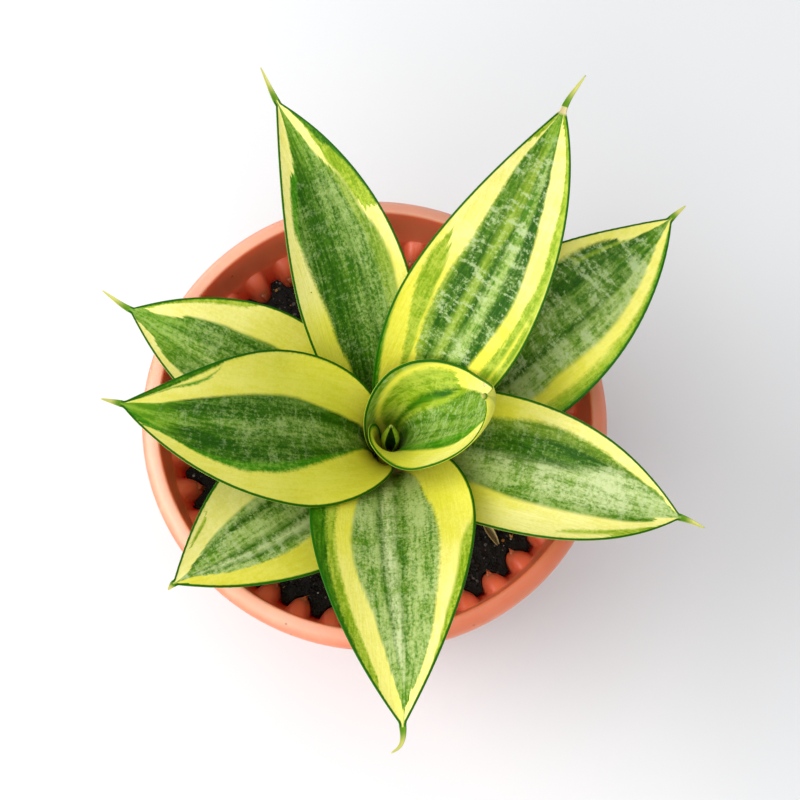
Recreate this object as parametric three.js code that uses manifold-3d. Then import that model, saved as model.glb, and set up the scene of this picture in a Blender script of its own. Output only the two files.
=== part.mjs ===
import * as THREE from 'three';
import Module from 'manifold-3d';

const wasm = await Module();
wasm.setup();
const { Manifold, Mesh, CrossSection } = wasm;

// Pot, in mm, base on z = 0
const rimRadius = 75;
const ribCount = 36;
const ribPhase = 4;
const ribHalf = 4.4;
const ribDepth = 4.4;
const drainRadius = 4;
const outerWall = [[50, 0], [66.7, 93], [68.6, 99.5], [70.6, 110], [72.9, 109], [70.3, 93.5], [71.9, 93.5],
  [74.5, 107], [rimRadius, 109.8], [74.6, 112], [72.8, 114.3]];
const innerWall = [[70.4, 115], [69.2, 113.4], [66.9, 99.5], [65.8, 98], [49.6, 6], [48, 4]];

// Soil, with the stem in a plain hole
const fitGap = 0.35;
const soilTop = 91;
const crownX = 5.5;
const crownY = -5;
const stemRadius = 19;
const stemTop = 87.6;
const stemBottom = 70;
const sheathBottom = 88;

// Blades. az, turn: heading at the foot and its change by the tip. r0, rm, r1: rise at foot, middle and tip.
// cup0, cup1: half wrap at foot and tip, the change going from hold to ct. tm: the widest point.
// taper: how full the blade stays past it. rad, z0: foot circle.
// yaw, hook, pitch and spine: the end spine's bends and length.
const leafTable = {
  leaf_rolled: { az: -8.5, turn: 23, len: 85, wid: 49, r0: 94, rm: 10.5, r1: 118.5, cup0: 213, cup1: 25,
    bank: -20, tm: 0.3, taper: 1.2, hold: 0.07, ct: 0.51, rad: 3.65, z0: 95.5, thick: 1.6, spiral: 0.25,
    yaw: 0, pitch: 0, spine: 2 },
  leaf_g: { az: 198.5, turn: -23, len: 106.5, wid: 50.5, r0: 77.5, rm: 32, r1: 16, cup0: 82, cup1: 15, bank: 0,
    tm: 0.45, ct: 0.5, rad: 6, z0: 95, thick: 2.1, yaw: 2, pitch: 0, spine: 6 },
  leaf_b: { az: 59.5, turn: 17.5, len: 128, wid: 43.5, r0: 74, rm: 29.5, r1: 8, cup0: 68, cup1: 20, bank: 1,
    tm: 0.42, ct: 0.49, rad: 7.5, z0: 94.5, thick: 2.1, yaw: -17, pitch: 0, spine: 12 },
  leaf_e: { az: -84, turn: 3.5, len: 122.5, wid: 51, r0: 74.5, rm: 29.5, r1: 12, cup0: 78, cup1: 19, bank: 4,
    tm: 0.38, ct: 0.45, rad: 9, z0: 94, thick: 2.1, yaw: 12, hook: -70, pitch: 0, spine: 9 },
  leaf_a: { az: 112, turn: 15.5, len: 116, wid: 37.5, r0: 64, rm: 28, r1: 12, cup0: 70, cup1: 24, bank: 1,
    tm: 0.44, ct: 0.47, rad: 10.5, z0: 93, thick: 2.1, yaw: -6, pitch: 0, spine: 11.5 },
  leaf_d: { az: -17.5, turn: 9.5, len: 103, wid: 46.5, r0: 85.5, rm: 2, r1: 0, cup0: 54, cup1: 40, bank: 5,
    tm: 0.26, taper: 3.2, ct: 0.63, rad: 12, z0: 92.5, thick: 2.1, yaw: -12, pitch: 0, spine: 8 },
  leaf_f: { az: 227, turn: -5, len: 87, wid: 47, r0: 58.5, rm: 26, r1: 12, cup0: 60, cup1: 18, bank: -3,
    tm: 0.42, ct: 0.45, rad: 13.5, z0: 92, thick: 2.1, yaw: 21, pitch: 0, spine: 2.5 },
  leaf_c: { az: 37, turn: 16, len: 109, wid: 50.5, r0: 50.5, rm: 25, r1: 8, cup0: 55, cup1: 21, bank: 0,
    tm: 0.43, ct: 0.45, rad: 15, z0: 91.5, thick: 2.1, yaw: -7, pitch: 0, spine: 6 },
  leaf_h: { az: 162.5, turn: 0.5, len: 84.5, wid: 45, r0: 47, rm: 24.5, r1: 7, cup0: 42, cup1: 20, bank: -1,
    tm: 0.41, ct: 0.45, rad: 16.5, z0: 91, thick: 2.1, yaw: -12, pitch: 0, spine: 10.5 },
  leaf_core: { az: 95, turn: 0, len: 18, wid: 11, r0: 88, rm: 88, r1: 88, cup0: 160, cup1: 130, bank: 0,
    tm: 0.68, ct: 1, rad: 1.6, z0: 95.5, thick: 0.9, yaw: 0, pitch: 0, spine: 1 },
};

const rad = (d) => (d * Math.PI) / 180;
const clamp01 = (x) => Math.min(Math.max(x, 0), 1);
const smooth = (x) => clamp01(x) ** 2 * (3 - 2 * clamp01(x));
const add = (a, b, k = 1) => [a[0] + b[0] * k, a[1] + b[1] * k, a[2] + b[2] * k];
const cross = (a, b) => [a[1] * b[2] - a[2] * b[1], a[2] * b[0] - a[0] * b[2], a[0] * b[1] - a[1] * b[0]];
const heading = (rise, head) => [Math.cos(rad(rise)) * Math.cos(rad(head)),
  Math.cos(rad(rise)) * Math.sin(rad(head)), Math.sin(rad(rise))];

// A closed body from points and triangles, turned outward when it comes out inside out
function solid(points, faces) {
  const make = (list) => new Manifold(new Mesh({
    numProp: 3, vertProperties: new Float32Array(points.flat()), triVerts: new Uint32Array(list.flat()),
  }));
  const first = make(faces);
  return first.volume() > 0 ? first : make(faces.map(([a, b, c]) => [a, c, b]));
}

// Rings of the same number of points joined in order, with a ladder across the first and last ring
function ringBody(rings) {
  const n = rings[0].length;
  const faces = [];
  for (let i = 0; i + 1 < rings.length; i += 1) {
    for (let j = 0; j < n; j += 1) {
      const a = i * n + j;
      const b = i * n + ((j + 1) % n);
      faces.push([a, b, b + n], [a, b + n, a + n]);
    }
  }
  for (const [start, flip] of [[0, true], [(rings.length - 1) * n, false]]) {
    for (let j = 0; j < n / 2 - 1; j += 1) {
      const quad = [start + j, start + j + 1, start + n - 2 - j, start + n - 1 - j];
      const [a, b, c, d] = flip ? [...quad].reverse() : quad;
      faces.push([a, b, c], [a, c, d]);
    }
  }
  return solid(rings.flat(), faces);
}

// One blade: a midrib that bends over, an arc across it, a sheath down to the stem and an end spine
function leafBody(p, across = 8, along = 15) {
  const foot = [crownX + p.rad * Math.cos(rad(p.az)), crownY + p.rad * Math.sin(rad(p.az)), p.z0];
  const riseAt = (t) => (1 - t) ** 2 * p.r0 + 2 * t * (1 - t) * p.rm + t * t * p.r1;
  const headAt = (t) => p.az + p.turn * t * t;
  const footHalf = p.rad * rad(p.cup0);
  const rings = [];
  let mid = foot;
  let last = 0;
  const ring = (centre, rise, head, half, wrap, mids, edge, bank, t) => {
    const side = [-Math.sin(rad(head)), Math.cos(rad(head)), 0];
    const up = cross(heading(rise, head), side);
    const s = add(side.map((v) => v * Math.cos(bank)), up, Math.sin(bank));
    const n = add(up.map((v) => v * Math.cos(bank)), side, -Math.sin(bank));
    const face = [];
    const back = [];
    for (let j = 0; j <= across; j += 1) {
      const u = -1 + (2 * j) / across;
      const a = wrap * u;
      const base = half / wrap;
      const r = base * (1 + (p.spiral || 0) * u * (1 - smooth(t / 0.8)));
      const at = add(add(centre, s, r * Math.sin(a)), n, base - r * Math.cos(a));
      const out = add(n.map((v) => v * Math.cos(a)), s, -Math.sin(a));
      face.push(at);
      back.push(add(at, out, -(edge + (mids - edge) * (1 - u * u))));
    }
    return [...face, ...back.reverse()];
  };
  const steps = 60;
  for (let i = 0; i <= along; i += 1) {
    const t = (i / along) ** 0.9;
    for (let k = 0; k < steps && t > last; k += 1) {
      const dt = Math.min((t - last), 1 / steps);
      mid = add(mid, heading(riseAt(last + dt / 2), headAt(last + dt / 2)), p.len * dt);
      last += dt;
    }
    const half = t < p.tm
      ? footHalf + (p.wid / 2 - footHalf) * Math.sin((Math.PI / 2) * (t / p.tm))
      : (p.wid / 2) * (1 - ((t - p.tm) / (1 - p.tm)) ** (p.taper || 1.9));
    const hold = p.hold || 0;
    const wrap = rad(p.cup1) + (rad(p.cup0) - rad(p.cup1)) * (1 - smooth((t - hold) / (p.ct - hold)));
    const thin = 1 - 0.3 * t;
    rings.push(ring(mid, riseAt(t), headAt(t), Math.max(half, 0.8), wrap, p.thick * thin,
      Math.min(0.9, p.thick) * thin, rad(p.bank) * t, t));
  }
  const low = rings[0].map(([x, y]) => [x, y, sheathBottom]);
  for (let i = 1; i <= 3; i += 1) {
    const rise = p.r1 + (p.pitch * i) / 3;
    const head = p.az + p.turn + (p.yaw * Math.min(i, 2)) / 2 + (p.hook || 0) * (i / 3) ** 2;
    mid = add(mid, heading(rise, head), p.spine / 3);
    rings.push(ring(mid, rise, head, 0.8 - 0.15 * i, rad(p.cup1), 1.1 - 0.14 * i, 0.7 - 0.03 * i, rad(p.bank), 1));
  }
  return ringBody([low, ...rings]);
}

const revolve = (section) => Manifold.revolve(new CrossSection([section]), 72).rotate([0, 0, ribPhase]);

// One rib inside the wall: a half barrel with a round top, its foot running out into the wall
function ribBody(grow) {
  const rows = [[98.3, 0.3, 65.2], [97.5, 0.6, 65], [96, 0.84, 64.7], [93.4, 1, 64.1], [80, 1, 61.7],
    [76, 0.25, 61]];
  const n = 6;
  const rings = rows.map(([z, k, r], i) => {
    const lift = [grow, 0, 0, 0, 0, -grow][i];
    const half = (ribHalf + grow) * (0.35 + 0.65 * k);
    const arc = [0, 1, 2, 3, 4].map((j) => (Math.PI * j) / 4).map((a) => [
      r + 1.5 - (ribDepth + 1.5 + grow) * k * Math.sin(a), half * Math.cos(a), z + lift]);
    return [...arc, [r + 1.7, 0, z + lift]];
  });
  const faces = [];
  for (let i = 0; i + 1 < rings.length; i += 1) {
    for (let j = 0; j < n; j += 1) {
      const a = i * n + j;
      const b = i * n + ((j + 1) % n);
      faces.push([a, b, b + n], [a, b + n, a + n]);
    }
  }
  const end = (rings.length - 1) * n;
  for (let j = 1; j + 1 < n; j += 1) faces.push([0, j + 1, j], [end, end + j, end + j + 1]);
  return solid(rings.flat(), faces);
}

// A small pointed tooth on the soil side of a rib, just above the soil
const tooth = solid([[61.6, -1.7, 95.2], [61.6, 1.7, 95.2], [61.6, 0.4, 91.8], [58, 0.6, 92.8]],
  [[0, 1, 3], [1, 2, 3], [2, 0, 3], [0, 2, 1]]);

const around = (body) => Array.from({ length: ribCount },
  (_, i) => body.rotate([0, 0, (360 * i) / ribCount + ribPhase]));

// Pot: an outer and an inner turned shape, drain holes, and the ribs and teeth inside
const outer = revolve([[0, 0], ...outerWall, [innerWall[0][0], 115], [0, 115]]);
const inner = revolve([[0, 116], [innerWall[0][0], 116], ...innerWall, [0, 4]].reverse());
const drains = [0, 1, 2, 3, 4, 5].map((i) => Manifold.cylinder(12, drainRadius, drainRadius, 16, true)
  .translate([30 * Math.cos(rad(60 * i + 10)), 30 * Math.sin(rad(60 * i + 10)), 3]));
const pot = Manifold.union([outer.subtract(inner), ...around(ribBody(0)), ...around(tooth)])
  .subtract(Manifold.union(drains));

// Soil: an uneven top inside the wall, kept clear of the ribs, with a plain hole for the stem
function soilHeight(x, y) {
  const d = Math.hypot(x - crownX, y - crownY);
  const lumps = 0.45 * Math.sin(x / 6.1 + 1.3) * Math.cos(y / 5.3 + 0.4) + 0.3 * Math.sin(x / 3.7 - y / 4.3 + 2);
  const inside = 1 - smooth((Math.hypot(x, y) - 50) / 8);
  return soilTop + lumps * inside * smooth((d - 19) / 8) - 1.2 * (1 - smooth((d - 19) / 7));
}
function soilBody() {
  const sides = 40;
  const radii = [24, 33, 41, 48, 55, 63.4];
  const low = [[48.4, 6.6], [46.8, 4.4]];
  const points = [[0, 0, soilHeight(0, 0)]];
  const faces = [];
  for (const r of radii) {
    for (let i = 0; i < sides; i += 1) {
      const a = rad((360 / sides) * i);
      points.push([r * Math.cos(a), r * Math.sin(a), soilHeight(r * Math.cos(a), r * Math.sin(a))]);
    }
  }
  for (const [r, z] of low) {
    for (let i = 0; i < sides; i += 1) points.push([r * Math.cos(rad(9 * i)), r * Math.sin(rad(9 * i)), z]);
  }
  const rows = radii.length + low.length;
  for (let i = 0; i < sides; i += 1) {
    const n = (i + 1) % sides;
    faces.push([0, 1 + i, 1 + n]);
    for (let j = 0; j + 1 < rows; j += 1) {
      const a = 1 + j * sides;
      faces.push([a + i, a + sides + i, a + sides + n], [a + i, a + sides + n, a + n]);
    }
    faces.push([points.length, 1 + (rows - 1) * sides + n, 1 + (rows - 1) * sides + i]);
  }
  points.push([0, 0, 4.4]);
  return solid(points, faces);
}
const hole = Manifold.cylinder(40, stemRadius + fitGap, stemRadius + fitGap, 48)
  .translate([crownX, crownY, stemBottom - fitGap]);
const soil = soilBody().subtract(hole).subtract(Manifold.union(around(ribBody(fitGap))));

// Stem: a short stub whose flat top carries the blades
const stem = Manifold.cylinder(stemTop - stemBottom, stemRadius - 2, stemRadius, 40)
  .translate([crownX, crownY, stemBottom]);

// Husk: a dry curled scale lying on the soil
const husk = ringBody([[0, 0.5], [1.5, 1.1], [4.5, 1.3], [7, 1.1], [8.6, 0.5]].map(([x, w]) => {
  const face = [-1, -0.4, 0.4, 1].map((u) => [x, w * u, 0.7 + 0.8 * w * u * u]);
  return [...face, ...face.map(([a, b, c]) => [a, b, c - 0.7]).reverse()];
})).rotate([0, 0, -52]).translate([39, -25.9, soilTop + 0.9]);

const finish = {
  pot: ['#c8663f', 0.55], soil: ['#1b1816', 0.95], stem: ['#b9a35a', 0.8], husk: ['#c9b78a', 0.8],
};
const bodies = { pot, soil, stem, husk };
const detail = { leaf_rolled: [20, 15], leaf_core: [8, 6] };
for (const name of Object.keys(leafTable)) {
  bodies[name] = leafBody(leafTable[name], ...(detail[name] || [8, 15]));
  finish[name] = ['#9fb44a', 0.45];
}

const group = new THREE.Group();
for (const [name, body] of Object.entries(bodies)) {
  const mesh = body.getMesh();
  const geometry = new THREE.BufferGeometry();
  geometry.setAttribute('position', new THREE.BufferAttribute(new Float32Array(mesh.vertProperties), 3));
  geometry.setIndex(new THREE.BufferAttribute(new Uint32Array(mesh.triVerts), 1));
  geometry.computeVertexNormals();
  const [color, roughness] = finish[name];
  const item = new THREE.Mesh(geometry, new THREE.MeshStandardMaterial({ color, roughness, metalness: 0 }));
  item.name = name;
  group.add(item);
}
export default group;
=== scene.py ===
import math

import bpy
import numpy as np
from mathutils import Matrix, Vector


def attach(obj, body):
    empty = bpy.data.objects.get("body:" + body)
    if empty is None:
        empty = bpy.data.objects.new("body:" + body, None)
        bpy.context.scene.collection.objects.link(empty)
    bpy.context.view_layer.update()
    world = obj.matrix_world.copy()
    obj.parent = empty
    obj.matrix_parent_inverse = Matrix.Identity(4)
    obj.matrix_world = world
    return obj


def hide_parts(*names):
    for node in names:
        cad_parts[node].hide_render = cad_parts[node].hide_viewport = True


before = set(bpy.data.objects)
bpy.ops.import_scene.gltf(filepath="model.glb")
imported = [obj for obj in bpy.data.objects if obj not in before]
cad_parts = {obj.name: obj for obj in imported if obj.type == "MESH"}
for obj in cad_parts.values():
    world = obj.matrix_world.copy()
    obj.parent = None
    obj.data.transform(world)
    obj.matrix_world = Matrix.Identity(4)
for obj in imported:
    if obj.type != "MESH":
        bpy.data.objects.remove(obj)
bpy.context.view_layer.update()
print("stage: frame loaded,", len(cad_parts), "nodes")

millimetre = 0.001  # the object's lengths below are in millimetres, and Blender's are in metres

# Shader expressions: Value is a socket that joins in sums, Finish is one material


def tint(red, green, blue):
    # a colour picked as it looks on a screen, 0 to 255, turned to the linear values that a shader wants
    parts = [c / 255 for c in (red, green, blue)]
    return tuple(c / 12.92 if c <= 0.04045 else ((c + 0.055) / 1.055) ** 2.4 for c in parts)


class Value:
    def __init__(self, finish, socket):
        self.finish = finish
        self.socket = socket

    def math(self, operation, *values):
        return self.finish.node("ShaderNodeMath", {"operation": operation}, values)

    def __add__(self, other):
        return self.math("ADD", self, other)

    def __radd__(self, other):
        return self.math("ADD", other, self)

    def __sub__(self, other):
        return self.math("SUBTRACT", self, other)

    def __rsub__(self, other):
        return self.math("SUBTRACT", other, self)

    def __mul__(self, other):
        return self.math("MULTIPLY", self, other)

    def __rmul__(self, other):
        return self.math("MULTIPLY", other, self)

    def __abs__(self):
        return self.math("ABSOLUTE", self)


class Finish:
    # constants go straight into the shader's sockets, by name
    def __init__(self, name, **constants):
        self.material = bpy.data.materials.new(name)
        self.material.use_nodes = True
        self.tree = self.material.node_tree
        self.tree.nodes.clear()
        output = self.tree.nodes.new("ShaderNodeOutputMaterial")
        self.shader = self.tree.nodes.new("ShaderNodeBsdfPrincipled")
        self.tree.links.new(self.shader.outputs[0], output.inputs[0])
        for socket, value in constants.items():
            self.put(self.shader.inputs[socket.replace("_", " ")], value)

    def put(self, socket, value):
        if isinstance(value, Value):
            self.tree.links.new(value.socket, socket)
        elif isinstance(value, (tuple, list)) and len(socket.default_value) == 4:
            socket.default_value = (*value[:3], 1)
        else:
            socket.default_value = value

    def surface(self, colour, roughness, normal):
        for socket, value in (("Base Color", colour), ("Roughness", roughness), ("Normal", normal)):
            self.put(self.shader.inputs[socket], value)
        return self.material

    def node(self, kind, settings=None, sockets=(), out=0):
        # any node: its settings first, then the values or links of its sockets, by place or by name
        made = self.tree.nodes.new(kind)
        for key, value in (settings or {}).items():
            if key == "curve":
                self.curve(made, value)
            else:
                setattr(made, key, value)
        pairs = sockets.items() if isinstance(sockets, dict) else enumerate(sockets)
        for key, value in pairs:
            self.put(made.inputs[key], value)
        return Value(self, made.outputs[out])

    def curve(self, made, points):
        # the line's points, eased so that it never swings past them
        line = made.mapping.curves[0]
        while len(line.points) < len(points):
            line.points.new(0.5, 0.5)
        for point, place in zip(line.points, points):
            point.location = place
            point.handle_type = "AUTO_CLAMPED"
        made.mapping.update()

    def vector(self, x, y, z, scale=None):
        # three values joined, all times the scale if there is one
        if scale is not None:
            x, y, z = x * scale, y * scale, z * scale
        return self.node("ShaderNodeCombineXYZ", None, (x, y, z))

    def split(self, vector):
        return [self.node("ShaderNodeSeparateXYZ", None, (vector,), out) for out in range(3)]

    def attribute(self, name):
        return self.node("ShaderNodeAttribute", {"attribute_name": name}, (), "Vector")

    def place(self, scale):
        # Object coordinates, scaled
        return self.split(self.node("ShaderNodeVectorMath", {"operation": "SCALE"}, {
            0: self.node("ShaderNodeTexCoord", None, (), "Object"), "Scale": scale}))

    def noise(self, vector, detail=3.0, rough=0.6):
        return self.node("ShaderNodeTexNoise", None,
                         {"Vector": vector, "Scale": 1.0, "Detail": detail, "Roughness": rough})

    def cells(self, vector):
        # distance to the nearest of scattered points
        return self.node("ShaderNodeTexVoronoi", None, {"Vector": vector, "Scale": 1.0})

    def mix(self, factor, first, second):
        return self.node("ShaderNodeMix", {"data_type": "RGBA"}, {0: factor, 6: first, 7: second}, 2)

    def step(self, value, low, high):
        # 0 below low, 1 above high, eased between
        return self.node("ShaderNodeMapRange", {"interpolation_type": "SMOOTHSTEP"}, (value, low, high, 0, 1))

    def along(self, value, stops):
        # A line read at value. Stops, in hundredths: its height at 0, pairs of (place, height), its height at
        # 100. The curve node holds heights from 0 to 1, so they are halved and raised, then turned back.
        pairs = [(0, stops[0]), *stops[1:-1], (100, stops[-1])]
        points = [(x / 100, (y / 100 + 1) / 2) for x, y in pairs]
        return self.node("ShaderNodeFloatCurve", {"curve": points}, (1.0, value)) * 2 - 1

    def bump(self, height, distance, strength=1.0):
        sockets = {"Strength": strength, "Distance": distance, "Height": height}
        return self.node("ShaderNodeBump", None, sockets)


def inScene(name, data):
    # an object made for its data and put in the scene
    made = bpy.data.objects.new(name, data)
    bpy.context.scene.collection.objects.link(made)
    return made


# Meshes: rings of points joined by quads, closed at their ends


def smooth(x):
    # 0 below 0, 1 above 1, eased between
    x = np.clip(x, 0, 1)
    return x * x * (3 - 2 * x)


def spun(points, angle):
    # points turned about the upright axis, each by its own angle where there are several
    x, y, z = np.moveaxis(points, -1, 0)
    c, s = np.cos(angle), np.sin(angle)
    return np.stack([x * c - y * s, x * s + y * c, z + 0 * c], -1)


def bandQuads(first, second):
    # quads between two closed rings of point numbers
    return np.stack([first, np.roll(first, -1), np.roll(second, -1), second], -1)


def gridQuads(rows, columns):
    # a sheet of closed rings, one ring a row
    numbers = np.arange(rows * columns).reshape(rows, columns)
    return np.concatenate([bandQuads(a, b) for a, b in zip(numbers[:-1], numbers[1:])])


def fan(ring, centre, turned=False):
    # triangles from one ring to its centre point
    made = np.stack([ring, np.roll(ring, -1), np.full(len(ring), centre)], -1)
    return made[:, ::-1] if turned else made


def facingOut(points, faces):
    # the sign of the enclosed volume tells whether the faces look outward
    total = 0.0
    for group in faces:
        corner = points[group]
        for k in range(1, group.shape[1] - 1):
            total += np.einsum("ij,ij->i", corner[:, 0], np.cross(corner[:, k], corner[:, k + 1])).sum()
    return faces if total > 0 else [group[:, ::-1] for group in faces]


def addPiece(name, points, faces, material, replaced, attributes=None):
    # points in millimetres, in the shared frame; faces are arrays of triangles or quads; loose points go
    faces = facingOut(points, faces)
    used = np.unique(np.concatenate([group.ravel() for group in faces]))
    renumber = np.zeros(len(points), int)
    renumber[used] = np.arange(len(used))
    mesh = bpy.data.meshes.new(name)
    corners = [face for group in faces for face in renumber[group].tolist()]
    mesh.from_pydata((points[used] * millimetre).tolist(), [], corners)
    for key, values in (attributes or {}).items():
        layer = mesh.attributes.new(key, "FLOAT_VECTOR", "POINT")
        layer.data.foreach_set("vector", np.ascontiguousarray(values[used], np.float32).ravel())
    mesh.polygons.foreach_set("use_smooth", np.ones(len(mesh.polygons), bool))
    mesh.materials.append(material)
    mesh.update()
    piece = inScene(name, mesh)
    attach(piece, "root")
    if replaced:
        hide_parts(replaced)
    print("stage:", name, len(mesh.polygons), "faces")


# Blades

crown = {"x": 5.5, "y": -5.0, "sheathBottom": 88.0}

leafTones = {  # deep, mid and pale colour of each kind of stripe, and the share of the pale one
    "yellow": ((219, 214, 60), (224, 219, 70), (229, 224, 84), 0.45),
    # gold: a darker copy of the yellow, painted shade
    "gold": ((211, 205, 60), (216, 210, 72), (222, 216, 88), 0.45),
    "cream": ((226, 220, 112), (231, 225, 126), (237, 231, 144), 0.5),
    "lime": ((112, 146, 14), (148, 175, 34), (180, 195, 68), 0.4),
    "olive": ((94, 130, 22), (130, 156, 42), (162, 182, 84), 0.42),
    "green": ((48, 116, 6), (84, 146, 18), (124, 170, 56), 0.35),
    "edge": ((38, 90, 0), (66, 122, 6), (110, 156, 36), 0.2),
    "deep": ((32, 78, 2), (64, 110, 12), (124, 152, 70), 0.34),
    "middle": ((48, 98, 4), (92, 132, 22), (150, 174, 96), 0.42),
    "grey": ((70, 118, 18), (120, 154, 46), (176, 194, 120), 0.5),
    "silver": ((96, 134, 40), (140, 168, 70), (196, 208, 150), 0.56),
}

leafTouches = {  # tones over the stripes; fresh: dark and pale; scar: middle and edge; spine: foot and point
    "mark": tint(174, 192, 142), "fresh": (tint(88, 142, 18), tint(134, 174, 42)), "margin": tint(28, 92, 0),
    "speck": tint(84, 84, 24), "scar": (tint(236, 222, 190), tint(120, 78, 40)), "ring": tint(206, 190, 136),
    "spine": (tint(92, 136, 26), tint(196, 196, 104)),
}

# az, turn: heading at the foot, and its swing by the tip. len, wid, thick: size. tm: where it is widest.
# taper: how late it narrows. r0, rm, r1: rise at foot, middle and tip. cup0, cup1: half of the wrap up to
# hold and past ct. bank: lean at the tip. rad, z0: the foot's distance from the crown and its height.
# spine, yaw, hook: the end spine's length and bends. wave, nicks: unevenness of the margins. rim: width of
# the dark margin line. pale: where the yellows turn from deeper at the foot, painted shade near the crown, to
# paler. fresh: where the tip greens. crossing, swirl, lines: pale cross marks. ragged, soft, blend: how rough
# and soft the stripes' edges are. glow: light inside the blade.
# back: tone of the back and its share. scar: its place across and along.
# bands: the stripes from the right margin to the left, with their limits between them. A limit is its place
# across at the foot, pairs of (along, across), and its place at the tip, in hundredths, 100 at the left.

leafCommon = dict(
    thick=2.1, bank=0, hold=0, taper=1.9, spiral=0, yaw=0, hook=0, wave=0.3, nicks=0, rim=0.4, swirl=1.5,
    lines=0.15, ragged=0.1, soft=0.035, blend=0.06, glow=0.0, back=(tint(184, 202, 64), 0.3), scar=None,
    dryRing=0, along=120, across=61, pathSteps=600, spineRows=14, sheathRows=4)

leafFamily = {}

leafFamily["leaf_rolled"] = dict(
    az=-8.5, turn=23, len=85, wid=49, r0=94, rm=10.5, r1=118.5, cup0=213, cup1=25, bank=-20, tm=0.3,
    taper=1.2, hold=0.07, ct=0.51, rad=3.65, z0=95.5, thick=1.6, spiral=0.25, spine=2, seed=3.1, wave=0,
    across=101, rim=0.5, pale=(0.36, 0.62), fresh=(-0.1, 0.0, 0.3), crossing=0.8, swirl=5.0, lines=0.42,
    # back: a bright yellow over most of the back, painted light glowing through the thin rolled tip
    ragged=0.04, soft=0.04, glow=0.4, back=(tint(236, 234, 84), 0.7), scar=(0.9, 0.69), bands=[
        "lime", [-92, (40, -95), -97],
        "yellow", [-25, (30, -30), (40, -35), (50, -42), (57, -44), (62, -38), (68, -25), 0],
        "green", [-5, (30, -13), (45, -16), (60, -14), 10],
        "middle", [22, (10, 26), (20, 30), (30, 34), (40, 43), (46, 57), (50, 65), (55, 71), (60, 73),
            (65, 70), 40],
        "lime", [28, (10, 33), (20, 36.5), (30, 41.5), (40, 51.5), (46, 66.5), (50, 70), (60, 72), 40],
        "edge", [33, (10, 38), (20, 43), (30, 52), (40, 63), (46, 68.5), (60, 70), 40],
        "lime", [50, (10, 58), (20, 72), (30, 82), (40, 90), (44, 90), (47, 72), (60, 70), 40],
        "cream", [60, (10, 68), (20, 81), (30, 91), (40, 98), (45, 100), 100],
        "olive"])
leafFamily["leaf_g"] = dict(
    az=198.5, turn=-23, len=106.5, wid=50.5, r0=77.5, rm=32, r1=16, cup0=82, cup1=15, tm=0.45, ct=0.5,
    rad=6, z0=95, yaw=2, spine=6, seed=7.4, wave=0.2, rim=0.45, ragged=0.05, pale=(0.35, 1.0),
    fresh=(0.78, 0.93, 0.85), crossing=0.15, bands=[
        "edge", [-100, (62, -99), (70, -95), (76, -90), (85, -82), (93, -74), -60],
        "yellow", [-100, (70, -97), (74, -82), (80, -76), (86, -78), (93, -72), -60],
        "green", [-100, (70, -97), (74, -78), (80, -69), (86, -74), (93, -70), -60],
        "yellow", [-42, (12, -40), (20, -37), (30, -37), (45, -43), (55, -44), (70, -43), (85, -38),
            (90, -33), -50],
        "deep", [-20, (30, -14), (60, -15), (85, -10), 0],
        "middle", [2, (30, 10), (60, 10), (80, 16), 40],
        "deep", [2, (10, 6), (20, 17), (30, 25), (40, 33), (50, 42), (60, 50), (70, 58), (80, 60), 40],
        "green", [5, (10, 10), (20, 22), (30, 32), (40, 42), (50, 54), (60, 63), (65, 68), (75, 68),
            (85, 63), (90, 70), (95, 92), 100],
        "yellow"])
leafFamily["leaf_b"] = dict(
    az=59.5, turn=17.5, len=128, wid=43.5, r0=74, rm=29.5, r1=8, cup0=68, cup1=20, bank=1, tm=0.42, ct=0.49,
    rad=7.5, z0=94.5, yaw=-17, spine=12, seed=12.7, pale=(0.38, 0.72), fresh=(0.84, 0.96, 0.6),
    crossing=0.6, dryRing=1, bands=[
        "cream", [-97, (40, -98), (70, -96), (85, -98), -100],
        "lime", [-84, (35, -86), (50, -90), (60, -93), -100],
        "cream", [-82, (35, -83), (47, -86), (55, -93), -100],
        "lime", [-62, (36, -66), (45, -73), (50, -75), (60, -82), (70, -79), (80, -83), (87, -82),
            (92, -76), (96, -40), -30],
        "cream", [-40, (35, -46), (45, -53), (55, -57), (62, -53), (70, -48), (80, -40), (88, -33), -30],
        "deep", [-25, (35, -30), (60, -30), (75, -28), -20],
        "grey", [-10, (40, -10), (65, -8), 0],
        "deep", [0, (40, 0), (60, 3), (70, -2), 0],
        "olive", [14, (30, 13), (50, 15), (65, 20), 30],
        "deep", [20, (27, 27), (35, 33), (45, 40), (53, 43), (62, 40), (72, 34), 30],
        "middle", [20, (27, 28), (35, 35), (45, 42), (60, 43), (70, 50), (80, 58), (88, 62), 50],
        "olive", [30, (25, 35), (30, 42), (40, 49), (50, 52), (60, 50), (72, 55), (85, 64), 50],
        "cream", [32, (26, 45), (35, 50), (42, 53), (50, 59), (55, 66), (60, 84), (63, 100), (86, 100),
            (92, 70), 50],
        "lime", [53, (24, 56), (29, 61), (35, 68), (42, 79), (50, 89), (55, 91), (60, 86), (63, 98),
            (86, 98), (94, 100), 100],
        "yellow", [85, (20, 90), (30, 94), (40, 98), (50, 100), 100],
        "green"])
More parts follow.
